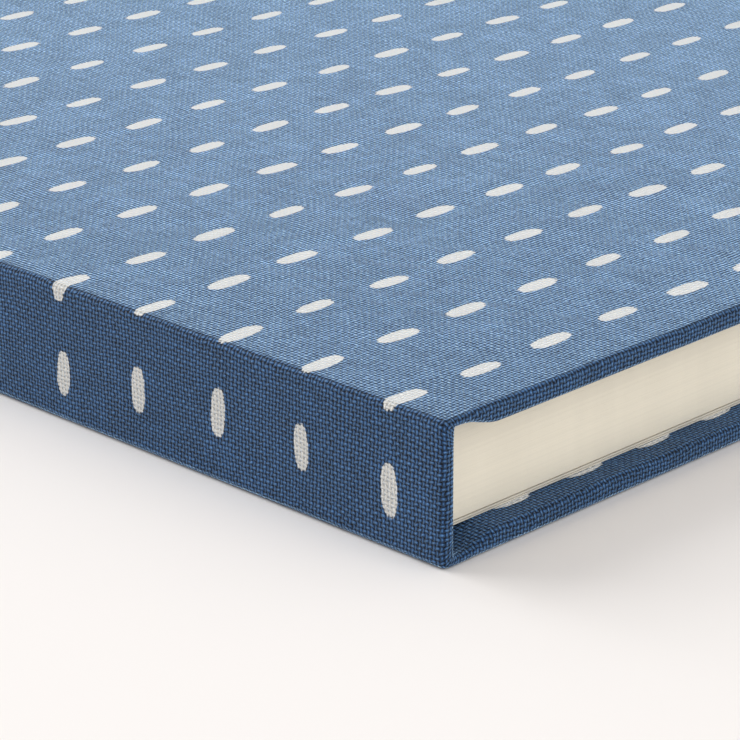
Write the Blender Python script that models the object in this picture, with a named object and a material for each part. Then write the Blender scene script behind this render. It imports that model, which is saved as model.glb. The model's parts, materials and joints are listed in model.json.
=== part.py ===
"""A square-spined pilot logbook bound in printed cloth, lying shut on its back cover.

Frame, in metres: +X runs from the spine to the fore edge, +Y from the tail to the head, +Z up.
The origin is the middle of the footprint, on the surface that the back cover rests on.

The case is three stiff boards (front, spine, back) joined by bare cloth, which folds at the two
joints. The text block is ten sewn signatures between two endpapers. Each signature is made as two
solids: its fold, which the sewing holds at the spine, and its leaves, which turn with the cover.
All the leaves of one half turn about that half's hinge line, so they never meet as they fan out.
"""

import bmesh
import bpy
from mathutils import Vector

MM = 0.001

# The case
CASE_WIDTH = 166 * MM
CASE_LENGTH = 226 * MM
CASE_THICKNESS = 18 * MM
COVER_THICKNESS = 2.6 * MM
CLOTH = 0.35 * MM
CLOTH_FIT = 0.1 * MM        # clearance between the cloth and what it wraps
TURN_IN = 15 * MM           # how far the cloth is turned in over a board's inner face
CASE_ROUNDING = 0.9 * MM    # outer radius where the cloth passes over a board's edge
SPINE_ROUNDING = 1.0 * MM
BOARD_ROUNDING = 0.5 * MM   # edges of the spine's board

# The spine wall and the two joints, measured from the spine's outer face
SPINE_WALL = 2.0 * MM
JOINT_START = 2.8 * MM
JOINT_END = 7.0 * MM
COVER_START = 7.3 * MM
HINGE_REACH = 3.5 * MM      # from the spine's outer face to either hinge line
HINGE_PROUD = 0.15 * MM     # how far either hinge line lies outside its cover's outer face

# The text block
SQUARE = 4.0 * MM           # how far the case stands out past the pages at head and tail
FORE_SQUARE = 4.0 * MM
SIGNATURES = 10
PAGES_GAP = 0.1 * MM
ENDPAPER = 0.15 * MM
FOLD_START = 3.4 * MM
FOLD_END = 8.2 * MM
LEAF_START = 8.5 * MM
FOLD_ROUNDING = 0.4 * MM

# What holds the text block together at the spine
LINING_START = 2.5 * MM
MULL_START = 2.8 * MM
SHEET = 0.1 * MM
MULL_FLANGE = 25 * MM
THREAD_RADIUS = 0.14 * MM
THREAD_REACH = 3.13 * MM
THREAD_STATIONS = 5
THREAD_MARGIN = 12 * MM      # from the head or the tail to the first stitches

SPINE_X = -CASE_WIDTH / 2
HALF_LENGTH = CASE_LENGTH / 2
PAGE_END_X = CASE_WIDTH / 2 - FORE_SQUARE
PAGE_HALF = HALF_LENGTH - SQUARE
ENDPAPER_FACE = COVER_THICKNESS + 0.2 * MM  # height of the back pastedown's face
BLOCK_LOW = ENDPAPER_FACE + ENDPAPER + 0.25 * MM
BLOCK_HIGH = CASE_THICKNESS - BLOCK_LOW
SIGNATURE_PITCH = (BLOCK_HIGH - BLOCK_LOW) / SIGNATURES
TOLERANCE = 0.001 * MM


def clear_scene():
    """Remove whatever the scene holds, so that the model starts from nothing."""
    for item in list(bpy.data.objects):
        bpy.data.objects.remove(item, do_unlink=True)


def material(name, colour, roughness):
    """Return a plain non-metallic Principled material."""
    made = bpy.data.materials.new(name)
    made.use_nodes = True
    shader = made.node_tree.nodes["Principled BSDF"]
    shader.inputs["Base Color"].default_value = (*colour, 1.0)
    shader.inputs["Roughness"].default_value = roughness
    shader.inputs["Metallic"].default_value = 0.0
    return made


def from_spine(distance):
    """Return the X of a point that lies this far from the spine's outer face."""
    return SPINE_X + distance


def hinge_axis(name, height):
    """Return an empty that lies on a hinge line; the pieces that turn about it are its children."""
    axis = bpy.data.objects.new(name, None)
    axis.location = (from_spine(HINGE_REACH), 0.0, height)
    bpy.context.collection.objects.link(axis)
    return axis


def place(name, shape, look, parent=None):
    """Link a mesh made in world positions, keeping its origin at its parent's."""
    mesh = bpy.data.meshes.new(name)
    origin = parent.location if parent else Vector((0.0, 0.0, 0.0))
    bmesh.ops.translate(shape, verts=shape.verts, vec=-origin)
    bmesh.ops.recalc_face_normals(shape, faces=shape.faces)
    shape.to_mesh(mesh)
    shape.free()
    made = bpy.data.objects.new(name, mesh)
    made.parent = parent
    bpy.context.collection.objects.link(made)
    if look:
        mesh.materials.append(look)
    return made


def box_shape(low, high):
    """Return the bmesh of a box between two corners."""
    shape = bmesh.new()
    bmesh.ops.create_cube(shape, size=1.0)
    low, high = Vector(low), Vector(high)
    bmesh.ops.scale(shape, vec=high - low, verts=shape.verts)
    bmesh.ops.translate(shape, vec=(low + high) / 2, verts=shape.verts)
    return shape


def round_edges(shape, radius, segments, wanted):
    """Round the edges of a bmesh whose middle satisfies wanted(position)."""
    edges = [e for e in shape.edges if wanted((e.verts[0].co + e.verts[1].co) / 2)]
    bmesh.ops.bevel(
        shape, geom=edges, offset=radius, segments=segments, profile=0.5,
        affect="EDGES", clamp_overlap=True,
    )


def slab(name, low, high, look, parent=None, radius=0.0, segments=2, wanted=None):
    """Make a box, with some of its edges rounded."""
    shape = box_shape(low, high)
    if radius:
        round_edges(shape, radius, segments, wanted or (lambda _: True))
    made = place(name, shape, look, parent)
    if radius:
        made.data.shade_smooth()
        made.data.set_sharp_from_angle(angle=0.7)
    return made


def cut(target, cutter):
    """Subtract a guide solid from a piece."""
    cutter.hide_render = True
    cutter.display_type = "WIRE"
    boolean = target.modifiers.new(cutter.name, "BOOLEAN")
    boolean.operation = "DIFFERENCE"
    boolean.object = cutter


def cover_heights(front):
    """Return the lowest and highest Z of the front or the back cover."""
    low = CASE_THICKNESS - COVER_THICKNESS if front else 0.0
    return low, low + COVER_THICKNESS


def cover_slab(name, start, inset, front, look, axis):
    """Make a cover-shaped slab, this far inside the cover's skin, rounded on its three free sides."""
    low, high = cover_heights(front)
    end, half = CASE_WIDTH / 2 - inset, HALF_LENGTH - inset

    def free_side(middle):
        return middle.x > start + TOLERANCE and (
            middle.x > end - TOLERANCE or abs(middle.y) > half - TOLERANCE
        )

    return slab(
        name, (start, -half, low + inset), (end, half, high - inset),
        look, axis, CASE_ROUNDING - inset, 3, free_side,
    )


def make_cover(side, front, axis, looks):
    """Make one cover: its board, the cloth wrapped round it, its mull flange and its pastedown."""
    low, high = cover_heights(front)
    wrap = CLOTH + CLOTH_FIT
    start, end = from_spine(COVER_START), CASE_WIDTH / 2

    cover_slab(f"{side}_board", start + CLOTH_FIT, wrap, front, looks["board"], axis)
    cloth = cover_slab(f"{side}_cover_cloth", start, 0.0, front, looks["cloth"], axis)
    cavity = cover_slab(f"{side}_board_space", start - MM, CLOTH, front, None, axis)
    inner_face = low if front else high
    window = slab(
        f"{side}_turn_in_edge",
        (start - MM, -HALF_LENGTH + TURN_IN, inner_face - MM),
        (end - TURN_IN, HALF_LENGTH - TURN_IN, inner_face + MM),
        None, axis,
    )
    cut(cloth, cavity)
    cut(cloth, window)

    inward = -1 if front else 1
    flange_far = inner_face - inward * wrap
    flange = sorted((flange_far + inward * 0.1 * MM, flange_far + inward * (0.1 * MM + SHEET)))
    slab(
        f"{side}_mull_flange",
        (start, -HALF_LENGTH + TURN_IN + MM, flange[0]),
        (start + MULL_FLANGE, HALF_LENGTH - TURN_IN - MM, flange[1]),
        looks["mull"], axis,
    )
    paste = sorted((inner_face + inward * 0.05 * MM, inner_face + inward * 0.2 * MM))
    slab(
        f"{side}_pastedown",
        (start, -PAGE_HALF, paste[0]), (PAGE_END_X, PAGE_HALF, paste[1]),
        looks["endpaper"], axis,
    )


def make_spine(looks):
    """Make the spine's board, the cloth wrapped round it and the cloth of the two joints."""
    wrap = CLOTH + CLOTH_FIT
    inner = from_spine(SPINE_WALL)
    slab(
        "spine_board",
        (SPINE_X + wrap, -HALF_LENGTH + wrap, wrap),
        (inner - wrap, HALF_LENGTH - wrap, CASE_THICKNESS - wrap),
        looks["board"], None, BOARD_ROUNDING,
    )
    cloth = slab(
        "spine_cloth", (SPINE_X, -HALF_LENGTH, 0.0), (inner, HALF_LENGTH, CASE_THICKNESS),
        looks["cloth"], None, SPINE_ROUNDING, 3,
        lambda p: p.x < SPINE_X + TOLERANCE or abs(p.y) > HALF_LENGTH - TOLERANCE,
    )
    cavity = slab(
        "spine_board_space",
        (SPINE_X + CLOTH, -HALF_LENGTH + CLOTH, CLOTH),
        (inner - CLOTH, HALF_LENGTH - CLOTH, CASE_THICKNESS - CLOTH),
        None, None, 0.45 * MM,
    )
    window = slab(
        "spine_turn_in_edge",
        (inner - MM, -HALF_LENGTH + TURN_IN, CLOTH),
        (inner + MM, HALF_LENGTH - TURN_IN, CASE_THICKNESS - CLOTH),
        None,
    )
    cut(cloth, cavity)
    cut(cloth, window)
    for side, front in (("front", True), ("back", False)):
        make_joint_cloth(side, front, looks)


def make_joint_cloth(side, front, looks):
    """Make one joint: bare cloth, doubled where it is turned in at the head and the tail."""
    outer = CASE_THICKNESS if front else 0.0
    inward = -1 if front else 1
    single, double = inward * CLOTH, inward * 2.1 * CLOTH
    outline = [
        (-HALF_LENGTH, outer), (HALF_LENGTH, outer), (HALF_LENGTH, outer + double),
        (HALF_LENGTH - TURN_IN, outer + double), (HALF_LENGTH - TURN_IN, outer + single),
        (-HALF_LENGTH + TURN_IN, outer + single), (-HALF_LENGTH + TURN_IN, outer + double),
        (-HALF_LENGTH, outer + double),
    ]
    shape = bmesh.new()
    corners = [shape.verts.new((from_spine(JOINT_START), y, z)) for y, z in outline]
    face = shape.faces.new(corners)
    grown = bmesh.ops.extrude_face_region(shape, geom=[face])
    moved = [v for v in grown["geom"] if isinstance(v, bmesh.types.BMVert)]
    bmesh.ops.translate(shape, verts=moved, vec=(JOINT_END - JOINT_START, 0.0, 0.0))
    place(f"{side}_joint_cloth", shape, looks["cloth"])


def make_sheets(name, low_z, high_z, look, axis, rounding=0.0):
    """Make folded sheets in two solids: the fold at the spine, and the leaves that turn."""
    fold_x = from_spine(FOLD_START)
    slab(
        f"{name}_fold",
        (fold_x, -PAGE_HALF, low_z), (from_spine(FOLD_END), PAGE_HALF, high_z),
        look, None, rounding, 3, lambda p: p.x < fold_x + TOLERANCE and abs(p.y) < TOLERANCE,
    )
    slab(
        f"{name}_leaves",
        (from_spine(LEAF_START), -PAGE_HALF, low_z), (PAGE_END_X, PAGE_HALF, high_z),
        look, axis,
    )


def make_text_block(front_axis, back_axis, looks):
    """Make the endpapers and the signatures, counted from the front cover."""
    front_face = CASE_THICKNESS - ENDPAPER_FACE - 0.15 * MM
    back_face = ENDPAPER_FACE + 0.15 * MM
    make_sheets("front_flyleaf", front_face - ENDPAPER, front_face, looks["endpaper"], front_axis)
    make_sheets("back_flyleaf", back_face, back_face + ENDPAPER, looks["endpaper"], back_axis)
    for index in range(SIGNATURES):
        high_z = BLOCK_HIGH - index * SIGNATURE_PITCH
        low_z = high_z - SIGNATURE_PITCH + PAGES_GAP
        axis = front_axis if index < SIGNATURES // 2 else back_axis
        make_sheets(f"signature_{index + 1:02d}", low_z, high_z, looks["page"], axis, FOLD_ROUNDING)


def make_backing(looks):
    """Make the mull and the paper lining that are glued over the folds."""
    low, high = BLOCK_LOW, BLOCK_HIGH
    for name, start, margin in (("mull", MULL_START, 12 * MM), ("spine_lining", LINING_START, 0.0)):
        slab(
            name,
            (from_spine(start), -PAGE_HALF + margin, low),
            (from_spine(start) + SHEET, PAGE_HALF - margin, high),
            looks["mull"] if name == "mull" else looks["page"],
        )


def make_thread(looks):
    """Make the linked stitches that cross the folds, one column at each sewing station."""
    spacing = 2 * (PAGE_HALF - THREAD_MARGIN) / (THREAD_STATIONS - 1)
    for station in range(THREAD_STATIONS):
        shape = bmesh.new()
        column = bmesh.ops.create_cone(
            shape, cap_ends=True, segments=8, radius1=THREAD_RADIUS, radius2=THREAD_RADIUS,
            depth=BLOCK_HIGH - BLOCK_LOW - MM,
        )
        y = -PAGE_HALF + THREAD_MARGIN + station * spacing
        middle = Vector((from_spine(THREAD_REACH), y, (BLOCK_LOW + BLOCK_HIGH) / 2))
        bmesh.ops.translate(shape, verts=column["verts"], vec=middle)
        thread = place(f"sewing_thread_{station + 1}", shape, looks["thread"])
        thread.data.shade_smooth()
        thread.data.set_sharp_from_angle(angle=0.9)


def main():
    """Build the logbook."""
    clear_scene()
    looks = {
        "cloth": material("printed_blue_cloth", (0.14, 0.25, 0.42), 0.85),
        "board": material("grey_board", (0.42, 0.38, 0.33), 0.9),
        "page": material("page_paper", (0.75, 0.70, 0.58), 0.85),
        "endpaper": material("endpaper", (0.78, 0.74, 0.65), 0.8),
        "mull": material("mull_gauze", (0.70, 0.68, 0.60), 0.9),
        "thread": material("linen_thread", (0.74, 0.70, 0.60), 0.7),
    }
    front_axis = hinge_axis("front_hinge_line", CASE_THICKNESS + HINGE_PROUD)
    back_axis = hinge_axis("back_hinge_line", -HINGE_PROUD)
    make_spine(looks)
    make_cover("front", True, front_axis, looks)
    make_cover("back", False, back_axis, looks)
    make_text_block(front_axis, back_axis, looks)
    make_backing(looks)
    make_thread(looks)


main()
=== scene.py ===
"""The looks of a pilot logbook: a square-spined case bound in printed cloth, round sewn pages.

The cloth is one printed sheet in two halves that meet half way up the spine. Each half starts flat,
has its corners cut off as a binder cuts them, and is folded over the boards by a formula, so the
weave and the print run on over every edge. Each signature is four sheets folded into each other.
Lengths in the classes are in millimetres unless a name says otherwise, and meshes are in metres.
"""

import json
import logging
import math
import random
from contextlib import contextmanager
from dataclasses import dataclass, field
from enum import Enum
from typing import Callable, Iterator, List, Optional, Sequence, Tuple

import bpy
import numpy as np
from mathutils import Matrix, Vector


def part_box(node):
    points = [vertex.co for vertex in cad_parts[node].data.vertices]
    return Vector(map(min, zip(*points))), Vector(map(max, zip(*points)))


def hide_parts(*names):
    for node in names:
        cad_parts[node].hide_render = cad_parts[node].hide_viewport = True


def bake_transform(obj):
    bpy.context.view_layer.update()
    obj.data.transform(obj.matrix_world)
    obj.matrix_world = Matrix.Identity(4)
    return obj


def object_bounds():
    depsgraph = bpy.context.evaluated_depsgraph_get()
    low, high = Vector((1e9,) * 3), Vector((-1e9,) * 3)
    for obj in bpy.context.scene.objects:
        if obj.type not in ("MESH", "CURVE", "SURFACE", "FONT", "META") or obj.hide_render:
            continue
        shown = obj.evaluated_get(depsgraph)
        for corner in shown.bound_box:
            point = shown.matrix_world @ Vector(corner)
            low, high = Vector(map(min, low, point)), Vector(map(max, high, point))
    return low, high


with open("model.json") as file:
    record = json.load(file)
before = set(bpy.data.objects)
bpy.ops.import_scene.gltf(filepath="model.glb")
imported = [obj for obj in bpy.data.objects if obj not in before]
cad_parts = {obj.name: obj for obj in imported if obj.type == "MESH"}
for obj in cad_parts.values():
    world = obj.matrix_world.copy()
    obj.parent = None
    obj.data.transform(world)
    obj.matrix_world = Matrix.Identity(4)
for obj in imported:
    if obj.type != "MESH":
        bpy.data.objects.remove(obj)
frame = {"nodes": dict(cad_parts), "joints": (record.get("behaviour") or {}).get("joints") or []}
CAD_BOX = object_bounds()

MM = 0.001
LOG = logging.getLogger("logbook")

Piece = bpy.types.Object
Material = bpy.types.Material
Socket = bpy.types.NodeSocket
Colour = Tuple[float, float, float]
Stops = Tuple[Tuple[float, Colour], ...]
Points = np.ndarray


class Side(Enum):
    """Which half of the book a piece belongs to."""

    FRONT = "front"
    BACK = "back"


# ---- the bench: modelling by hand


class Bench:
    """The hand moves that the pieces are made with."""

    @staticmethod
    def clear() -> None:
        """Leave object mode and deselect everything."""
        if bpy.context.object and bpy.context.object.mode != "OBJECT":
            bpy.ops.object.mode_set(mode="OBJECT")
        bpy.ops.object.select_all(action="DESELECT")

    @staticmethod
    def take(piece: Piece) -> None:
        """Select one piece alone and make it active."""
        Bench.clear()
        piece.select_set(True)
        bpy.context.view_layer.objects.active = piece

    @staticmethod
    @contextmanager
    def editing(piece: Piece) -> Iterator[None]:
        """Hold a piece in edit mode, with all of it selected."""
        Bench.take(piece)
        bpy.ops.object.mode_set(mode="EDIT")
        bpy.ops.mesh.select_all(action="SELECT")
        yield
        bpy.ops.object.mode_set(mode="OBJECT")

    @staticmethod
    def flat_sheet(name: str, across: Sequence[float], along: Sequence[float]) -> Piece:
        """Add a grid and space its lines out.

        Args:
            name: the piece's name.
            across: the X of each line, in millimetres.
            along: the Y of each line, in millimetres.

        Returns:
            The flat sheet, with its size in its mesh.
        """
        Bench.clear()
        bpy.ops.mesh.primitive_grid_add(
            x_subdivisions=len(across) - 1, y_subdivisions=len(along) - 1, size=2.0
        )
        piece = bpy.context.object
        piece.name = piece.data.name = name
        points = Bench.points(piece)
        for axis, lines in ((0, across), (1, along)):
            share = (points[:, axis] + 1.0) / 2.0
            points[:, axis] = np.interp(share, np.linspace(0.0, 1.0, len(lines)), lines)
        Bench.set_points(piece, points)
        return piece

    @staticmethod
    def points(piece: Piece) -> Points:
        """Return a mesh's vertices as an array."""
        flat = np.zeros(len(piece.data.vertices) * 3)
        piece.data.vertices.foreach_get("co", flat)
        return flat.reshape(-1, 3)

    @staticmethod
    def set_points(piece: Piece, points: Points) -> None:
        """Move a mesh's vertices."""
        piece.data.vertices.foreach_set("co", np.asarray(points, np.float32).ravel())
        piece.data.update()

    @staticmethod
    def cut_away(piece: Piece, point: Sequence[float], normal: Sequence[float]) -> None:
        """Cut a piece along a plane and drop what lies beyond it, on the normal's side."""
        with Bench.editing(piece):
            bpy.ops.mesh.bisect(plane_co=point, plane_no=normal, clear_outer=True)

    @staticmethod
    def write_map(piece: Piece, name: str, flat: Points) -> None:
        """Give a mesh a UV map from one pair of numbers for each vertex."""
        layer = piece.data.uv_layers.get(name) or piece.data.uv_layers.new(name=name)
        corners = np.zeros(len(piece.data.loops), np.int32)
        piece.data.loops.foreach_get("vertex_index", corners)
        layer.data.foreach_set("uv", flat[corners].astype(np.float32).ravel())

    @staticmethod
    def thicken(piece: Piece, thickness: float, offset: float, rim_slot: int = 0) -> None:
        """Give a sheet its thickness, in millimetres."""
        Bench.take(piece)
        solid = piece.modifiers.new("thickness", "SOLIDIFY")
        solid.thickness = thickness * MM
        solid.offset = offset
        solid.material_offset_rim = rim_slot
        bpy.ops.object.modifier_apply(modifier=solid.name)

    @staticmethod
    def smooth(piece: Piece, degrees: float = 40.0) -> None:
        """Shade a piece smooth, apart from its sharp edges."""
        Bench.take(piece)
        bpy.ops.object.shade_smooth_by_angle(angle=math.radians(degrees))

    @staticmethod
    def join(pieces: Sequence[Piece], name: str) -> Piece:
        """Join several pieces into the first one."""
        Bench.take(pieces[0])
        for piece in pieces[1:]:
            piece.select_set(True)
        bpy.ops.object.join()
        pieces[0].name = pieces[0].data.name = name
        return pieces[0]

    @staticmethod
    def dress(piece: Piece, *looks: Material) -> None:
        """Give a piece its materials."""
        piece.data.materials.clear()
        for look in looks:
            piece.data.materials.append(look)


# ---- the paint shop: node trees


class Wiring:
    """Wires one material's nodes. Most methods return the socket that the next step reads."""

    def __init__(self, name: str) -> None:
        """Start a material that holds a Principled shader and nothing else."""
        self.material = bpy.data.materials.new(name)
        self.material.use_nodes = True
        self.tree = self.material.node_tree
        self.shader = self.tree.nodes["Principled BSDF"]

    def node(self, kind: str, **inputs: object) -> bpy.types.Node:
        """Add a node and feed its inputs, each from a value or a socket.

        Args:
            kind: the node's type.
            inputs: values by input name, with underscores for spaces.

        Returns:
            The new node.
        """
        made = self.tree.nodes.new(kind)
        for name, value in inputs.items():
            self.feed(made.inputs[name.replace("_", " ")], value)
        return made

    def feed(self, target: Socket, value: object) -> None:
        """Link a socket, or set its value."""
        if isinstance(value, Socket):
            self.tree.links.new(value, target)
        else:
            target.default_value = value

    def math(self, operation: str, *values: object) -> Socket:
        """Add a Math node."""
        made = self.tree.nodes.new("ShaderNodeMath")
        made.operation = operation
        for target, value in zip(made.inputs, values):
            self.feed(target, value)
        return made.outputs[0]

    def times(self, first: object, second: object) -> Socket:
        """Multiply two numbers."""
        return self.math("MULTIPLY", first, second)

    def vector(self, x: object, y: object, z: object = 0.0) -> Socket:
        """Join three numbers into a vector."""
        return self.node("ShaderNodeCombineXYZ", X=x, Y=y, Z=z).outputs[0]

    def map_axes(self, name: str) -> Tuple[Socket, Socket]:
        """Return the two axes of a piece's own UV map."""
        source = self.tree.nodes.new("ShaderNodeUVMap")
        source.uv_map = name
        parts = self.node("ShaderNodeSeparateXYZ", Vector=source.outputs[0])
        return parts.outputs[0], parts.outputs[1]

    def noise(
        self, place: Socket, scale: float, detail: float = 2.0, roughness: float = 0.5
    ) -> bpy.types.Node:
        """Add a noise texture."""
        return self.node(
            "ShaderNodeTexNoise", Vector=place, Scale=scale, Detail=detail, Roughness=roughness
        )

    def centred(self, value: Socket, reach: float) -> Socket:
        """Turn a number from 0 to 1 into one from minus to plus reach."""
        return self.times(self.math("SUBTRACT", value, 0.5), 2.0 * reach)

    def sum(self, *values: object) -> Socket:
        """Add several numbers up."""
        total = values[0]
        for value in values[1:]:
            total = self.math("ADD", total, value)
        return total

    def split(self, vector: object) -> Tuple[Socket, ...]:
        """Return the three parts of a vector."""
        return tuple(self.node("ShaderNodeSeparateXYZ", Vector=vector).outputs)

    def piecewise(self, value: object, knots: Sequence[Tuple[float, float]]) -> Socket:
        """Run straight from knot to knot.

        Args:
            value: the number read.
            knots: pairs of a value and its result, in rising order.

        Returns:
            The result for this value.
        """
        parts = [knots[0][1]]
        for (low, start), (high, end) in zip(knots, knots[1:]):
            run = self.node("ShaderNodeClamp", Value=value, Min=low, Max=high).outputs[0]
            slope = (end - start) / (high - low)
            parts.append(self.times(self.math("SUBTRACT", run, low), slope))
        return self.sum(*parts)

    def step(
        self, value: object, low: float, high: float, start: float = 0.0, end: float = 1.0
    ) -> Socket:
        """Run smoothly from start to end as value goes from low to high."""
        made = self.tree.nodes.new("ShaderNodeMapRange")
        made.interpolation_type = "SMOOTHSTEP"
        for target, number in zip(made.inputs, (value, low, high, start, end)):
            self.feed(target, number)
        return made.outputs[0]

    def mix(self, share: object, first: object, second: object) -> Socket:
        """Mix two colours."""
        made = self.tree.nodes.new("ShaderNodeMix")
        made.data_type = "RGBA"
        self.feed(made.inputs[0], share)
        self.feed(made.inputs[6], (*first, 1.0) if isinstance(first, tuple) else first)
        self.feed(made.inputs[7], (*second, 1.0) if isinstance(second, tuple) else second)
        return made.outputs[2]

    def ramp(self, value: object, stops: Stops) -> Socket:
        """Turn a number into a colour by stops."""
        made = self.node("ShaderNodeValToRGB", Fac=value)
        while len(made.color_ramp.elements) < len(stops):
            made.color_ramp.elements.new(0.5)
        for element, (place, colour) in zip(made.color_ramp.elements, stops):
            element.position = place
            element.color = (*colour, 1.0)
        return made.outputs[0]

    def scaled(self, colour: object, share: object) -> Socket:
        """Multiply a colour by a number."""
        made = self.tree.nodes.new("ShaderNodeVectorMath")
        made.operation = "SCALE"
        self.feed(made.inputs[0], colour)
        self.feed(made.inputs["Scale"], share)
        return made.outputs[0]

    def bump(self, height: object, distance: float, strength: float = 1.0) -> Socket:
        """Turn a height into a normal; distance is the relief in millimetres."""
        return self.node(
            "ShaderNodeBump", Height=height, Distance=distance * MM, Strength=strength
        ).outputs[0]

    def finish(
        self, colour: object, roughness: object, normal: Optional[Socket] = None
    ) -> Material:
        """Feed the shader and return the material."""
        self.feed(self.shader.inputs["Base Color"], colour)
        self.feed(self.shader.inputs["Roughness"], roughness)
        if normal:
            self.feed(self.shader.inputs["Normal"], normal)
        return self.material


@dataclass(frozen=True)
class PrintedCloth:
    """Plain-woven blue book cloth, block-printed with off-white dashes. Its colours hold painted shade
    between the threads, painted highlights on their tops and a painted sheen.
    """

    case_length: float  # past it the cloth is turned in, and the painted sheen is left off, so the turn-ins stay darker as painted shade
    map_name: str = "cloth_mm"
    thread_across: float = 0.566  # pitch of the threads that run along the spine
    thread_along: float = 0.568  # pitch of the threads that run across it
    thread_width: float = 0.72  # of the pitch
    drift: float = 0.9  # how far all the threads wander together
    shake: float = 0.14  # how far they waver within a few threads
    bow: float = 0.22  # how far one thread strays in its lane, in pitches
    # colours by height, from the gaps between the threads to their tops: painted shade in the gaps and
    # painted highlights on the tops
    dye_with_painted_shade_and_highlights: Stops = ((0.05, (0.0005, 0.002, 0.006)), (0.40, (0.002, 0.009, 0.029)),
                  (0.74, (0.023, 0.080, 0.212)), (0.96, (0.086, 0.208, 0.438)))
    # painted sheen: the paler blue that the cloth takes on as it is seen edge-on, over the same painted
    # shade and highlights
    lint_and_painted_sheen: Stops = ((0.05, (0.0005, 0.002, 0.006)), (0.38, (0.024, 0.076, 0.250)),
                   (0.74, (0.36, 0.63, 1.0)), (0.96, (0.78, 0.98, 1.0)))
    # the ink, greyer down in the gaps between the threads as painted shade
    ink: Stops = ((0.05, (0.50, 0.49, 0.47)), (0.4, (0.86, 0.84, 0.79)))
    # painted sheen on the print: a whiter ink, mixed in as the cloth is seen edge-on
    ink_with_painted_sheen: Stops = ((0.05, (0.93, 0.91, 0.88)), (0.4, (1.0, 0.985, 0.945)))
    painted_sheen_shows: Tuple[float, float] = (0.40, 0.84)  # how edge-on the cloth is, from 0 to 1, as the painted sheen starts and is full
    # the same for the ink's painted sheen
    ink_painted_sheen_shows: Tuple[float, float] = (0.40, 0.64)
    painted_sheen_fade: Tuple[float, float] = (1.4, 2.6)  # how far past the case's ends the painted sheen fades out
    row_pitch: float = 12.41  # from one row of dashes to the next, across the spine
    edge_row: float = 2.26  # where the row on the spine's edge lies
    back_row_pitch: float = 9.51  # the one closer pair of rows, on the back cover
    dash_pitch: float = 13.99  # from dash to dash along a row
    dash_start: float = 0.616  # where a row's first dash lies, in dash pitches
    back_slip: float = -0.085  # how far the back cover's rows slip along
    joint_slip: float = -0.30  # and the one row over the back joint
    sway: float = 1.5  # how far the rows wander across
    sway_length: float = 7.2  # in dash pitches
    dash_length: float = 6.2
    dash_width: float = 2.4
    dash_power: float = 2.5  # 2 would be an ellipse
    stray: Tuple[float, float] = (0.3, 0.35)  # how far a dash strays, across and along
    tilt: float = 0.05  # how far it tilts, as a slope
    raggedness: float = 0.34  # how uneven its outline is

    def build(self) -> Material:
        """Wire the weave, then the print over it."""
        wires = Wiring("printed_blue_cloth")
        u, v = wires.map_axes(self.map_name)
        place = wires.vector(u, v)
        height, tint = self.weave(wires, u, v, place)
        print_mask = self.dashes(wires, u, v, place, height)
        # painted sheen: as the cloth is seen more edge-on, its base colour itself moves to a paler blue,
        # and the ink's mix to a whiter ink, but not on the cloth turned in past the case's ends. A bake
        # loses both
        facing = wires.node("ShaderNodeLayerWeight", Blend=0.5).outputs["Facing"]
        past_edge = wires.sum(
            wires.math("ABSOLUTE", wires.sum(v, -self.case_length / 2)), -self.case_length / 2
        )
        sheen_fade_from, sheen_fade_to = self.painted_sheen_fade
        painted_sheen_share = wires.times(
            wires.step(facing, *self.painted_sheen_shows), wires.step(past_edge, sheen_fade_to, sheen_fade_from)
        )
        blue = wires.mix(painted_sheen_share, wires.ramp(height, self.dye_with_painted_shade_and_highlights), wires.ramp(height, self.lint_and_painted_sheen))
        ink = wires.mix(
            wires.step(facing, *self.ink_painted_sheen_shows),
            wires.ramp(height, self.ink), wires.ramp(height, self.ink_with_painted_sheen),
        )
        patches = wires.step(wires.noise(place, 0.09, 3.0).outputs[0], 0.2, 0.8, 0.92, 1.08)
        # the blue with its painted sheen and painted shade, times how light each thread and patch is
        dye_with_painted_light = wires.scaled(blue, wires.times(tint, patches))
        colour = wires.mix(print_mask, dye_with_painted_light, ink)
        wires.shader.inputs["Sheen Weight"].default_value = 0.35
        wires.shader.inputs["Sheen Roughness"].default_value = 0.38
        wires.shader.inputs["Sheen Tint"].default_value = (0.34, 0.62, 1.0, 1.0)
        wires.shader.inputs["Specular IOR Level"].default_value = 0.25
        return wires.finish(colour, 0.6, wires.bump(height, 0.42, 1.0))

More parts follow.
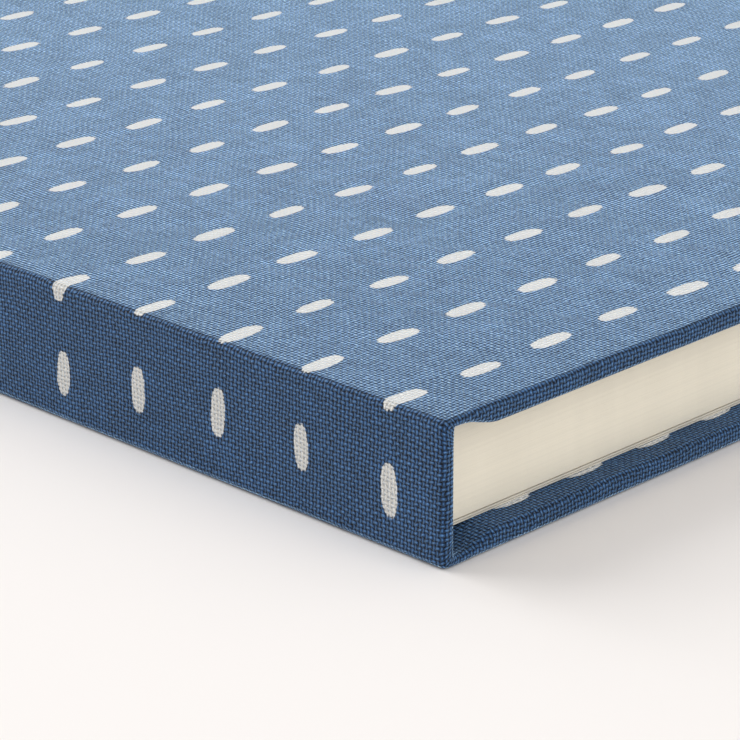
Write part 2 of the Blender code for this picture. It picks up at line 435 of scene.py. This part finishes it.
    def weave(
        self, wires: Wiring, u: object, v: object, place: Socket
    ) -> Tuple[Socket, Socket]:
        """Return the weave's height from 0 to 1, and how light each thread is."""
        drift = wires.split(wires.noise(place, 0.06, 2.0).outputs["Color"])
        shake = wires.split(wires.noise(place, 0.8, 1.0).outputs["Color"])
        counts = []
        for axis, pitch, part in ((u, self.thread_across, 0), (v, self.thread_along, 1)):
            moved = wires.sum(axis, wires.centred(drift[part], self.drift),
                              wires.centred(shake[part], self.shake))
            counts.append(wires.math("DIVIDE", moved, pitch))
        heights, tints = [], []
        for index, (own, other) in enumerate(((counts[0], counts[1]), (counts[1], counts[0]))):
            thread = wires.math("FLOOR", own)
            lane = wires.times(thread, 7.31)
            slub = wires.noise(
                wires.vector(lane, wires.times(other, 0.10), 3.0 + 9.0 * index), 1.0, 1.0
            ).outputs[0]
            bow = wires.noise(
                wires.vector(lane, wires.times(other, 0.45), 5.0 + 9.0 * index), 1.0, 1.0
            ).outputs[0]
            middle = wires.sum(wires.math("FRACT", own), -0.5, wires.centred(bow, self.bow))
            width = wires.step(slub, 0.25, 0.8, 0.86 * self.thread_width, 1.16 * self.thread_width)
            share = wires.math("DIVIDE", wires.times(middle, 2.0), width)
            flank = wires.math("SUBTRACT", 1.0, wires.times(share, share))
            section = wires.math("SQRT", wires.math("MAXIMUM", flank, 0.0))
            wave = wires.math("SINE", wires.times(wires.sum(other, thread), math.pi))
            reach, level = (-0.32, 0.58) if index else (0.38, 0.62)
            lift = wires.sum(wires.times(wave, reach), level)
            heights.append(wires.times(section, lift))
            tints.append(wires.step(slub, 0.2, 0.8, 0.82, 1.18))
        height = wires.math("MAXIMUM", *heights)
        tint = wires.node("ShaderNodeMix", Factor=wires.math("GREATER_THAN", *heights))
        wires.feed(tint.inputs[2], tints[1])
        wires.feed(tint.inputs[3], tints[0])
        # a random mottle of fuzz over the threads
        lint_and_painted_sheen = wires.noise(place, 5.5, 3.0, 0.65).outputs[0]
        shade = wires.times(tint.outputs[0], wires.step(lint_and_painted_sheen, 0.32, 0.72, 0.72, 1.38))
        return height, shade

    def dashes(
        self, wires: Wiring, u: object, v: object, place: Socket, height: object
    ) -> Socket:
        """Return where the printed dashes lie, from 0 to 1."""
        # where the rows lie over the cloth: the even rows, but for one step on the back cover
        back_edge = self.edge_row - 2 * self.row_pitch
        knots = ((-60.0, back_edge - self.back_row_pitch - 57 * self.row_pitch),
                 (-3.0, back_edge - self.back_row_pitch), (-2.0, back_edge),
                 (60.0, self.edge_row + 60 * self.row_pitch))
        rows = wires.piecewise(u, [(place_u, row) for row, place_u in knots])
        row = wires.math("ROUND", rows)
        centre = wires.piecewise(row, knots)
        slip = wires.piecewise(row, (
            (-60.0, self.dash_start + self.back_slip), (-3.0, self.dash_start + self.back_slip),
            (-2.0, self.dash_start + self.joint_slip), (-1.0, self.dash_start), (60.0, self.dash_start),
        ))
        along = wires.math("SUBTRACT", wires.math("DIVIDE", v, self.dash_pitch), slip)
        dash = wires.math("ROUND", along)
        chances = wires.split(
            wires.node("ShaderNodeTexWhiteNoise", Vector=wires.vector(row, dash, 4.0)).outputs["Color"]
        )
        phase = wires.times(wires.sum(dash, -1.6), 2 * math.pi / self.sway_length)
        swayed = wires.times(wires.math("COSINE", phase), -self.sway)
        across_mm = wires.sum(
            wires.math("SUBTRACT", u, centre), swayed, wires.centred(chances[0], self.stray[0])
        )
        along_mm = wires.sum(
            wires.times(wires.math("SUBTRACT", along, dash), self.dash_pitch),
            wires.centred(chances[1], self.stray[1]),
            wires.times(across_mm, wires.centred(chances[2], self.tilt)),
        )
        other_chance = wires.math("FRACT", wires.times(chances[0], 9.7))
        size = wires.step(other_chance, 0.0, 1.0, 0.94, 1.06)
        shares = []
        for way, reach in ((across_mm, self.dash_length), (along_mm, self.dash_width)):
            half = wires.times(size, reach / 2)
            share = wires.math("DIVIDE", wires.math("ABSOLUTE", way), half)
            shares.append(wires.math("POWER", share, self.dash_power))
        inside = wires.sum(*shares)
        ragged = wires.centred(wires.noise(place, 1.1, 2.0).outputs[0], self.raggedness)
        edge = wires.sum(inside, ragged, wires.times(height, -0.22))
        return wires.step(edge, 1.0, 0.78)


@dataclass(frozen=True)
class PagePaper:
    """Smooth cream paper, with the columns and rows of a flight record ruled on it."""

    map_name: str = "page_mm"
    paper: Colour = (0.800, 0.742, 0.620)
    rule: Colour = (0.36, 0.47, 0.58)
    band: Colour = (0.62, 0.67, 0.68)
    row_pitch: float = 7.0
    rule_width: float = 0.22
    inner_margin: float = 12.0
    outer_margin: float = 152.0
    half_height: float = 102.0
    header: float = 16.0
    columns: Tuple[float, ...] = (32.0, 50.0, 68.0, 86.0, 97.0, 108.0, 119.0, 130.0, 141.0)

    def fibres(self, wires: Wiring, place: Socket) -> Socket:
        """Return the paper's mottle, as a brightness about 1."""
        cloudy = wires.noise(place, 0.25, 4.0, 0.6).outputs[0]
        return wires.step(cloudy, 0.25, 0.75, 0.975, 1.02)

    def build(self) -> Material:
        """Wire the ruled faces of the leaves."""
        wires = Wiring("ruled_page_paper")
        u, v = wires.map_axes(self.map_name)
        place = wires.vector(u, v)
        inside = wires.times(self.between(wires, u, self.inner_margin, self.outer_margin),
                             self.between(wires, v, -self.half_height, self.half_height))
        wrapped = wires.math("PINGPONG", wires.math("ADD", v, self.half_height), self.row_pitch / 2)
        header_low = self.half_height - self.header
        lines = [wires.step(wrapped, self.rule_width / 2, self.rule_width / 2 - 0.06)]
        for column in (self.inner_margin, *self.columns, self.outer_margin):
            lines.append(self.line(wires, u, column, self.rule_width))
        for edge in (self.half_height, -self.half_height, header_low):
            lines.append(self.line(wires, v, edge, 2 * self.rule_width))
        ruled = lines[0]
        for line in lines[1:]:
            ruled = wires.math("MAXIMUM", ruled, line)
        ruled = wires.times(ruled, inside)
        header = wires.times(inside, wires.step(v, header_low - 0.1, header_low))
        plain = wires.mix(wires.times(header, 0.7), self.paper, self.band)
        colour = wires.scaled(wires.mix(wires.times(ruled, 0.75), plain, self.rule),
                              self.fibres(wires, place))
        grain = wires.noise(place, 3.0, 3.0).outputs[0]
        wires.shader.inputs["Specular IOR Level"].default_value = 0.3
        return wires.finish(colour, 0.78, wires.bump(grain, 0.02, 0.5))

    @staticmethod
    def line(wires: Wiring, axis: object, place: float, width: float) -> Socket:
        """Return a ruled line across one axis."""
        away = wires.math("ABSOLUTE", wires.math("SUBTRACT", axis, place))
        return wires.step(away, width / 2 + 0.03, width / 2 - 0.03)

    @staticmethod
    def between(wires: Wiring, axis: object, low: float, high: float) -> Socket:
        """Return 1 between two places on an axis, and 0 outside them."""
        return wires.times(wires.math("GREATER_THAN", axis, low - 0.15),
                           wires.math("LESS_THAN", axis, high + 0.15))


@dataclass(frozen=True)
class PlainPaper:
    """Unruled paper: the endpapers, and the trimmed edges of the leaves."""

    name: str
    paper: Colour
    streaks: float = 0.0  # how strongly each sheet's edge shows

    def build(self) -> Material:
        """Wire the paper on the sheet's own map."""
        wires = Wiring(self.name)
        u, v = wires.map_axes(PagePaper.map_name)
        place = wires.vector(u, v)
        cloudy = wires.noise(place, 0.12, 4.0, 0.6).outputs[0]
        shade = wires.step(cloudy, 0.25, 0.75, 0.97, 1.02)
        if self.streaks:
            tint = wires.tree.nodes.new("ShaderNodeAttribute")
            tint.attribute_name = "sheet_tint"
            shade = wires.times(shade, wires.math(
                "ADD", 1.0, wires.centred(tint.outputs["Fac"], self.streaks)))
        grain = wires.noise(place, 2.2, 3.0).outputs[0]
        colour = wires.scaled(self.paper, shade)
        wires.shader.inputs["Specular IOR Level"].default_value = 0.3
        return wires.finish(colour, 0.8, wires.bump(grain, 0.02, 0.5))


@dataclass(frozen=True)
class FibreBoard:
    """Pressed grey board, thread or gauze: a mottled matt material on object coordinates."""

    name: str
    dark: Colour
    light: Colour
    grain_per_metre: float = 900.0
    relief: float = 0.05

    def build(self) -> Material:
        """Wire flecks of fibre in two shades."""
        wires = Wiring(self.name)
        place = wires.tree.nodes.new("ShaderNodeTexCoord").outputs["Object"]
        flecks = wires.noise(place, self.grain_per_metre, 5.0, 0.65).outputs[0]
        colour = wires.mix(wires.step(flecks, 0.35, 0.65), self.dark, self.light)
        return wires.finish(colour, 0.9, wires.bump(flecks, self.relief, 0.6))


@dataclass(frozen=True)
class Gauze:
    """Open cotton gauze on a sheet that has its own map."""

    pitch: float = 0.9
    hole: Colour = (0.30, 0.28, 0.24)
    cotton: Colour = (0.74, 0.71, 0.63)

    def build(self) -> Material:
        """Wire two crossing sets of threads."""
        wires = Wiring("hinge_gauze")
        u, v = wires.map_axes(PagePaper.map_name)
        threads = wires.math("MINIMUM", *(wires.math("PINGPONG", axis, self.pitch / 2) for axis in (u, v)))
        gaps = wires.step(threads, 0.08, 0.16)
        colour = wires.mix(gaps, self.cotton, self.hole)
        return wires.finish(colour, 0.9, wires.bump(gaps, 0.05, -0.8))


class Finishes:
    """Every material of the book, made once."""

    def __init__(self, size: "BookSize") -> None:
        """Build the materials."""
        self.cloth = PrintedCloth(2 * size.half_length).build()
        self.page = PagePaper().build()
        self.page_edge = PlainPaper("trimmed_page_edges", (0.925, 0.862, 0.722), streaks=0.015).build()
        self.endpaper = PlainPaper("endpaper", (0.800, 0.755, 0.655)).build()
        self.board = FibreBoard("grey_board", (0.30, 0.27, 0.23), (0.46, 0.42, 0.37)).build()
        self.gauze = Gauze().build()
        self.mull = FibreBoard(
            "mull_gauze", (0.50, 0.47, 0.40), (0.76, 0.73, 0.65), grain_per_metre=1500.0
        ).build()
        self.thread = FibreBoard(
            "linen_thread", (0.58, 0.53, 0.43), (0.78, 0.74, 0.64), grain_per_metre=3000.0
        ).build()


# ---- the book's sizes


@dataclass
class BookSize:
    """The case's sizes and its hinge lines, read from the frame."""

    low: Vector = field(default_factory=lambda: CAD_BOX[0])
    high: Vector = field(default_factory=lambda: CAD_BOX[1])

    @property
    def spine_x(self) -> float:
        """X of the spine's outer face, in metres."""
        return self.low.x

    @property
    def width(self) -> float:
        """Case width."""
        return (self.high.x - self.low.x) / MM

    @property
    def half_length(self) -> float:
        """Half the case's length."""
        return (self.high.y - self.low.y) / 2 / MM

    @property
    def thickness(self) -> float:
        """Case thickness."""
        return (self.high.z - self.low.z) / MM

    def to_world(self, away: Points, along: Points, up: Points) -> Points:
        """Turn distances from the spine's outer face into positions in metres."""
        return np.stack([self.spine_x + away * MM, along * MM, up * MM], axis=1)

    @staticmethod
    def hinge(side: Side) -> Vector:
        """Return a point on the hinge line of one cover, in metres."""
        name = f"{side.value}_cover_hinge"
        found = next(joint for joint in frame["joints"] if joint["name"] == name)
        return Vector(found["pos_m"])


# ---- the cloth


@dataclass
class ClothFold:
    """How one half of the cloth lies: up the spine, over the joint and the board, and turned in.

    The flat cloth's u runs from the middle of the spine over the cover to the fore edge and in
    under it, and its v runs from the tail to the head. On the cover's outer face u is the distance
    from the spine's outer face.
    """

    size: BookSize
    spine_corner: float = 1.0  # radius of the spine's long edges
    spine_wall: float = 2.0
    cover: float = 2.6
    joint: float = 1.2  # thickness of the doubled cloth at the joint
    knee_start: float = -3.6  # the u where the inner face starts to turn from spine to joint
    joint_full: float = 3.0  # where the joint starts to thicken towards the board
    board_full: float = 9.6  # where the cover has its full thickness
    edge_radius: float = 0.75  # radius of the cloth's corners round a board's edge
    turn_in: float = 14.5
    fore_lift: float = 0.12  # how far the fore edge's turn-in lies over the others
    unevenness: float = 0.05

    @property
    def middle(self) -> float:
        """The u of the middle of the spine."""
        straight = self.size.thickness / 2 - self.spine_corner
        return self.spine_corner - math.pi / 2 * self.spine_corner - straight

    @property
    def edge_round(self) -> float:
        """The length of cloth that goes round a board's edge."""
        return self.cover + (math.pi - 2) * self.edge_radius

    @property
    def fore_start(self) -> float:
        """The u where the cloth starts round the fore edge."""
        return self.size.width - self.edge_radius

    def outside(self, u: Points) -> Tuple[Points, Points]:
        """Return distance from the spine and height of the cloth's outer face."""
        top, radius = self.size.thickness, self.spine_corner
        arc_start = radius - math.pi / 2 * radius
        angle = np.clip((radius - u) / radius, 0.0, math.pi / 2)
        away = np.where(u > radius, u, radius - radius * np.sin(angle))
        up = top - radius + radius * np.cos(angle) - np.clip(arc_start - u, 0.0, None)
        return np.minimum(away, self.fore_start), up

    def inside(self, u: Points) -> Tuple[Points, Points]:
        """Return distance from the spine and height of the turned-in cloth under each u."""
        top = self.size.thickness
        soffit = top - self.joint
        knee = np.clip((u - self.knee_start) / (self.joint_full - self.knee_start), 0.0, 1.0)
        rise = soffit - self.knee_low
        run = self.joint_full - self.spine_wall
        turn = knee * (rise + run)
        up = np.where(u < self.knee_start, self.outside(u)[1], self.knee_low + np.minimum(turn, rise))
        away = self.spine_wall + np.clip(turn - rise, 0.0, None)
        swell = np.clip((u - self.joint_full) / (self.board_full - self.joint_full), 0.0, 1.0)
        swell = swell * swell * (3 - 2 * swell)
        up = up - (self.cover - self.joint) * swell
        away = np.where(u > self.joint_full, np.minimum(u, self.fore_start), away)
        return away, up

    @property
    def knee_low(self) -> float:
        """The inner face's height where it starts to turn."""
        return float(self.outside(np.array([self.knee_start]))[1][0])

    def lay(self, u: Points, v: Points) -> Points:
        """Fold flat cloth over the front half of the case.

        Args:
            u: distance over the case from its spine, for each point of the flat cloth.
            v: distance along the case from its middle.

        Returns:
            Distance from the spine, distance from the middle and height, one row for each point.
        """
        out_away, out_up = self.outside(u)
        in_away, in_up = self.inside(u)
        past_fore = np.clip(u - self.fore_start, 0.0, None)
        depth = np.hypot(out_away - in_away, out_up - in_up)
        radius = np.minimum(depth / 2, self.edge_radius)
        end_start = self.size.half_length - radius
        past_end = np.clip(np.abs(v) - end_start, 0.0, None)
        past = np.hypot(past_fore, past_end)
        reach, sunk = self.round_edge(past, depth, radius)
        share = sunk / depth
        away = out_away + (in_away - out_away) * share + reach * past_fore / np.maximum(past, 1e-9)
        up = out_up + (in_up - out_up) * share
        along = np.sign(v) * (np.minimum(np.abs(v), end_start) + reach * past_end / np.maximum(past, 1e-9))
        over = np.where((past_fore > past_end) & (reach < 0.0), self.fore_lift, 0.0)
        return np.stack([away, along, up + over], axis=1)

    @staticmethod
    def round_edge(past: Points, depth: Points, radius: Points) -> Tuple[Points, Points]:
        """Follow the cloth round an edge: a round corner, a flat face and another corner.

        Args:
            past: how far along the cloth each point lies from the first corner's start.
            depth: the height of the edge there.
            radius: the corners' radius.

        Returns:
            How far out of and how far below the first corner's start each point lies.
        """
        quarter = math.pi / 2 * radius
        face = depth - 2 * radius
        first = np.clip(past, 0.0, quarter) / radius
        last = np.clip(past - quarter - face, 0.0, quarter) / radius
        flap = np.clip(past - 2 * quarter - face, 0.0, None)
        sunk = radius * (1 - np.cos(first)) + np.clip(past - quarter, 0.0, face) + radius * np.sin(last)
        return radius * (np.sin(first) - (1 - np.cos(last))) - flap, sunk

    def ripple(self, u: Points, v: Points) -> Points:
        """Return how uneven the cloth's outer face is at each point, a few hundredths."""
        return self.unevenness * (
            np.sin(u * 0.31 + 1.7 * np.sin(v * 0.11)) * np.sin(v * 0.23 + 0.6)
            + 0.6 * np.sin(u * 0.83 + v * 0.57 + 2.0)
        ) / 1.6


@dataclass
class CoverCloth:
    """The printed cloth, in two halves."""

    size: BookSize
    finishes: Finishes
    thickness: float = 0.35
    mitre_spare: float = 1.6  # cloth left on past the corner's own fold
    crease: float = 1.2  # width of the band that bends when the cover opens

    def lines_across(self, fold: ClothFold) -> List[float]:
        """Return the u of each line of the flat cloth: close where it bends."""
        round_end = fold.fore_start + fold.edge_round
        runs = (
            (fold.middle, fold.knee_start, 3), (-0.7, fold.spine_corner, 6),
            (fold.joint_full, fold.board_full, 20), (fold.board_full + 1.0, fold.fore_start - 1.0, 34),
            (fold.fore_start, round_end, 16), (round_end + 0.4, round_end + fold.turn_in, 5),
        )
        lines = [line for low, high, steps in runs for line in np.linspace(low, high, steps + 1)]
        lines += [-2.7, -1.8, -1.2, 1.6, 2.2, 2.6]  # the knee between the spine and the joint
        return sorted({float(line) for line in lines})

    def lines_along(self, fold: ClothFold) -> List[float]:
        """Return the v of each line of the flat cloth, from the tail to the head."""
        half = self.size.half_length
        bend = half - fold.edge_radius
        positive = [*np.linspace(0.0, bend - 1.0, 28), *np.linspace(bend, bend + fold.edge_round, 17),
                    *np.linspace(bend + fold.edge_round + 0.5, bend + fold.edge_round + fold.turn_in, 5)]
        return sorted({float(line) for line in (*positive, *(-line for line in positive))})

    def build(self, side: Side) -> Piece:
        """Cut, fold, thicken and dress one half of the cloth.

        Args:
            side: the front or the back cover's half.

        Returns:
            The finished piece.
        """
        fold = ClothFold(self.size)
        name = f"{side.value}_case_cloth"
        cloth = Bench.flat_sheet(name, self.lines_across(fold), self.lines_along(fold))
        corner_sum = fold.fore_start + self.size.half_length - fold.edge_radius
        corner_sum += fold.edge_round + self.mitre_spare
        for way in (1.0, -1.0):
            Bench.cut_away(cloth, (corner_sum, 0.0, 0.0), (1.0, way, 0.0))
        flat = Bench.points(cloth)
        u, v = flat[:, 0], flat[:, 1]
        map_u = u if side is Side.FRONT else 2 * fold.middle - u
        Bench.write_map(cloth, PrintedCloth.map_name, np.stack([map_u, v + self.size.half_length], axis=1))
        laid = fold.lay(u, v)
        laid[:, 2] += np.where(laid[:, 2] > self.size.thickness - 0.02, -np.abs(fold.ripple(u, v)), 0.0)
        if side is Side.BACK:
            laid[:, 2] = self.size.thickness - laid[:, 2]
        Bench.set_points(cloth, self.size.to_world(laid[:, 0], laid[:, 1], laid[:, 2]))
        if side is Side.BACK:
            with Bench.editing(cloth):
                bpy.ops.mesh.flip_normals()
        Bench.thicken(cloth, self.thickness, -1.0)
        Bench.smooth(cloth, 50.0)
        Bench.dress(cloth, self.finishes.cloth)
        hinge = self.size.hinge(side)
        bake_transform(cloth)
        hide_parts(f"{side.value}_cover_cloth", f"{side.value}_joint_cloth")
        if side is Side.FRONT:
            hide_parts("spine_cloth")
        return cloth


# ---- the pages


@dataclass
class TextBlock:
    """The signatures and the endpapers."""

    size: BookSize
    finishes: Finishes
    signatures: int = 10
    sheets_each: int = 4
    fold_reach: float = 3.62  # where the folds' centres lie, from the spine's outer face
    shoulder: float = 3.15  # where the endpapers' folds lie
    bend_start: float = 3.3
    bend_end: float = 8.5
    flyleaf: float = 0.20  # thicknesses
    pastedown: float = 0.16
    gauze: float = 0.045
    pastedown_gap: float = 0.14  # from the cloth to the middle of each
    gauze_gap: float = 0.03
    climb: float = 0.8  # the run over which they reach the fold at the shoulder
    seed: int = 5

    def leaf_lines(self, start: float, end: float) -> List[float]:
        """Return the lines across a leaf from its fold: close where it bends."""
        bend = np.linspace(start, self.bend_end + 0.3, 18)
        flat = np.linspace(self.bend_end + 4.0, end, 10)
        return [float(line) for line in (*bend, *flat)]

    def folded_sheet(
        self, name: str, middle: float, reach: float, end: float, half: float, thickness: float, tint: float
    ) -> Piece:
        """Fold one sheet into two leaves.

        Args:
            name: the piece's name.
            middle: height of the fold's centre.
            reach: distance from the fold's centre to either leaf.
            end: where the leaves end, from the spine's outer face.
            half: half the leaves' length.
            thickness: the paper's thickness.
            tint: from 0 to 1, how light the sheet's edges are.

        Returns:
            The folded sheet, with its thickness.
        """
        lines = [line - self.fold_reach for line in self.leaf_lines(self.fold_reach, end)]
        quarter = math.pi / 2 * reach
        leaf = [quarter + line for line in lines]
        turn = list(np.linspace(-quarter, quarter, 7))[1:-1]
        sheet = Bench.flat_sheet(name, [-line for line in reversed(leaf)] + turn + leaf, [-half, 0.0, half])
        flat = Bench.points(sheet)
        run, along = flat[:, 0], flat[:, 1]
        past = np.clip(np.abs(run) - quarter, 0.0, None)
        angle = np.clip(run / max(reach, 1e-6), -math.pi / 2, math.pi / 2)
        away = self.fold_reach - reach * np.cos(angle) + past
        up = middle + reach * np.sin(angle)
        Bench.write_map(sheet, PagePaper.map_name, np.stack([past, along], axis=1))
        Bench.set_points(sheet, self.size.to_world(away, along, up))
        shade = sheet.data.attributes.new("sheet_tint", "FLOAT", "POINT")
        shade.data.foreach_set("value", np.full(len(flat), tint, np.float32))
        Bench.dress(sheet, self.finishes.page, self.finishes.page_edge)
        Bench.thicken(sheet, thickness, 0.0, 1)
        return sheet

    def build_signature(self, index: int, dice: random.Random) -> Piece:
        """Nest the sheets of one signature, counted from the front cover."""
        name = f"signature_{index + 1:02d}"
        low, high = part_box(f"{name}_leaves")
        top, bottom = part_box("signature_01_leaves")[1].z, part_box("signature_10_leaves")[0].z
        pitch = (top - bottom) / self.signatures / MM
        middle = top / MM - (index + 0.5) * pitch
        leaf_pitch = pitch / (2 * self.sheets_each)
        sheets = []
        for nested in range(self.sheets_each):
            sheets.append(self.folded_sheet(
                f"{name}_sheet_{nested + 1}", middle, (nested + 0.5) * leaf_pitch,
                (high.x - self.size.spine_x) / MM + dice.uniform(-0.012, 0.012),
                high.y / MM + dice.uniform(-0.008, 0.008), leaf_pitch - 0.0015, dice.random(),
            ))
        signature = Bench.join(sheets, f"{name}_sheets")
        Bench.smooth(signature, 30.0)
        side = Side.FRONT if index < self.signatures // 2 else Side.BACK
        self.bend(signature, name, side)
        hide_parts(f"{name}_leaves", f"{name}_fold")
        LOG.info("%s: %d sheets", signature.name, self.sheets_each)
        return signature

    def bend(self, piece: Piece, body: str, side: Side) -> None:
        """Bake a piece's placement into its mesh."""
        height = self.size.hinge(side).z
        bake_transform(piece)

    def lay_sheet(
        self, name: str, box: Tuple[Vector, Vector], height: Callable[[Points], Points], thickness: float
    ) -> Piece:
        """Lay one sheet from the shoulder out to a box's far edge.

        Args:
            name: the piece's name.
            box: low and high corners of the solid that the sheet stands for.
            height: gives the sheet's height at each distance from the spine.
            thickness: the sheet's thickness.

        Returns:
            The sheet, with its thickness.
        """
        lines = self.leaf_lines(self.shoulder, (box[1].x - self.size.spine_x) / MM)
        piece = Bench.flat_sheet(name, lines, [box[0].y / MM, 0.0, box[1].y / MM])
        flat = Bench.points(piece)
        Bench.write_map(piece, PagePaper.map_name, flat[:, :2])
        Bench.set_points(piece, self.size.to_world(flat[:, 0], flat[:, 1], height(flat[:, 0])))
        Bench.thicken(piece, thickness, 0.0)
        Bench.smooth(piece, 30.0)
        return piece

    def build_endpaper(self, side: Side) -> None:
        """Make one pastedown with the gauze under it, and the flyleaf it meets at the shoulder."""
        half = side.value
        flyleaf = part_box(f"{half}_flyleaf_leaves")
        fold_up = (flyleaf[0].z + flyleaf[1].z) / 2 / MM
        fold = ClothFold(self.size)

        def level(away: Points) -> Points:
            """Return the fold's own height everywhere."""
            return np.full(len(away), fold_up)

        def over_cloth(gap: float) -> Callable[[Points], Points]:
            """Return heights that rest on the turned-in cloth and bridge the joint to the shoulder."""
            def height(away: Points) -> Points:
                """Return the height at each distance from the spine."""
                resting = fold.inside(np.maximum(away, fold.board_full))[1] - gap
                resting = resting if side is Side.FRONT else self.size.thickness - resting
                climb = np.clip((away - self.shoulder) / self.climb, 0.0, 1.0)
                return fold_up + (resting - fold_up) * climb * climb * (3 - 2 * climb)
            return height

        cover, paper = f"{half}_cover", self.finishes.endpaper
        for name, nodes, height, thickness, look, slot, body in (
            ("flyleaf_sheet", ("flyleaf_leaves", "flyleaf_fold"), level,
             self.flyleaf, paper, "endpaper", f"{half}_flyleaf"),
            ("pastedown_sheet", ("pastedown",), over_cloth(self.pastedown_gap),
             self.pastedown, paper, "endpaper", cover),
            ("hinge_gauze", ("mull_flange",), over_cloth(self.gauze_gap),
             self.gauze, self.finishes.gauze, "mull_gauze", cover),
        ):
            replaced = [f"{half}_{node}" for node in nodes]
            piece = self.lay_sheet(f"{half}_{name}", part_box(replaced[0]), height, thickness)
            Bench.dress(piece, look)
            self.bend(piece, body, side)
            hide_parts(*replaced)
            LOG.info("%s", piece.name)

    def build(self) -> None:
        """Make every signature and both endpapers."""
        dice = random.Random(self.seed)
        for index in range(self.signatures):
            self.build_signature(index, dice)
        for side in Side:
            self.build_endpaper(side)


# ---- what stays as it was designed


@dataclass
class Backing:
    """The boards, the mull, the spine's lining and the thread, which keep their own shapes."""

    finishes: Finishes

    def dress(self) -> None:
        """Give each of these pieces its finish."""
        for name, piece in frame["nodes"].items():
            if name.endswith("_board"):
                Bench.dress(piece, self.finishes.board)
            elif "mull" in name:
                Bench.dress(piece, self.finishes.mull)
            elif name.startswith("sewing_thread") or name == "spine_lining":
                Bench.dress(piece, self.finishes.thread)


# ---- the studio


@dataclass
class Studio:
    """The floor, the lights and the camera."""

    size: BookSize
    lens: float = 168.73
    pitch: float = 0.371246  # the camera's angle below the horizon, in radians
    yaw: float = 0.795075  # its angle from +Y towards +X
    roll: float = 0.002835
    stand: Tuple[float, float, float] = (-14.32737, -13.41926, 8.99065)  # from the box's low corner
    floor_colour: Colour = (0.872, 0.838, 0.820)
    floor_width: float = 8.0  # metres
    floor_gap: float = 0.00002  # keeps the floor's face off the cloth's
    room_light: float = 0.66

    def place_camera(self) -> None:
        """Stand the camera off the corner of the spine and the tail, in book thicknesses."""
        sin_yaw, cos_yaw = math.sin(self.yaw), math.cos(self.yaw)
        sin_pitch, cos_pitch = math.sin(self.pitch), math.cos(self.pitch)
        forward = Vector((sin_yaw * cos_pitch, cos_yaw * cos_pitch, -sin_pitch))
        level = Vector((cos_yaw, -sin_yaw, 0.0))
        down = forward.cross(level)
        right = level * math.cos(self.roll) + down * math.sin(self.roll)
        lower = down * math.cos(self.roll) - level * math.sin(self.roll)
        thickness = self.size.thickness * MM
        data = bpy.data.cameras.new("studio_camera")
        data.lens = self.lens
        data.sensor_width = 36.0
        data.clip_start, data.clip_end = 0.01, 20.0
        camera = bpy.data.objects.new("studio_camera", data)
        bpy.context.scene.collection.objects.link(camera)
        turned = Matrix((right, -lower, -forward)).transposed().to_4x4()
        place = Vector(self.size.low) + Vector(self.stand) * thickness
        camera.matrix_world = Matrix.Translation(place) @ turned
        bpy.context.scene.camera = camera

    def lay_floor(self) -> None:
        """Lay a pale matt floor under the book."""
        Bench.clear()
        bpy.ops.mesh.primitive_plane_add(size=self.floor_width, location=(0.0, 0.0, -self.floor_gap))
        floor = bpy.context.object
        floor.name = "studio_floor"
        wires = Wiring("studio_floor")
        wires.shader.inputs["Specular IOR Level"].default_value = 0.1
        Bench.dress(floor, wires.finish((*self.floor_colour, 1.0), 0.9))

    @staticmethod
    def light(
        name: str, place: Tuple[float, float, float], watts: float, width: float, colour: Colour
    ) -> None:
        """Hang one soft lamp.

        Args:
            name: the lamp's name.
            place: where it hangs, in metres. It faces the middle of the book's footprint.
            watts: its power.
            width: the width of its square diffuser.
            colour: its tint.
        """
        data = bpy.data.lights.new(name, "AREA")
        data.energy = watts
        data.size = width
        data.color = colour
        lamp = bpy.data.objects.new(name, data)
        lamp.location = place
        lamp.rotation_mode = "QUATERNION"
        lamp.rotation_quaternion = Vector(place).to_track_quat("Z", "Y")
        bpy.context.scene.collection.objects.link(lamp)

    def hang_lights(self) -> None:
        """Light the room softly, with two large lamps beyond the head and one beyond the tail."""
        world = bpy.data.worlds.new("studio_room")
        world.use_nodes = True
        room = world.node_tree.nodes["Background"]
        room.inputs["Color"].default_value = (1.0, 1.0, 1.0, 1.0)
        room.inputs["Strength"].default_value = self.room_light
        bpy.context.scene.world = world
        self.light("window", (-0.45, 1.25, 1.05), 15.5, 1.3, (1.0, 0.995, 0.985))
        self.light("low_window", (0.10, 1.55, 0.60), 6.5, 1.0, (1.0, 0.995, 0.985))
        self.light("tail_fill", (-0.10, -1.25, 0.96), 7.1, 1.5, (1.0, 0.99, 0.97))
        bpy.context.scene.view_settings.view_transform = "Standard"

    def build(self) -> None:
        """Set the studio up."""
        self.lay_floor()
        self.hang_lights()
        self.place_camera()


def main() -> None:
    """Build the logbook's looks in order."""
    logging.basicConfig(level=logging.INFO, format="%(name)s: %(message)s")
    size = BookSize()
    finishes = Finishes(size)
    cloth = CoverCloth(size, finishes)
    for side in Side:
        cloth.build(side)
    TextBlock(size, finishes).build()
    Backing(finishes).dress()
    Studio(size).build()


if __name__ == "__main__":
    main()
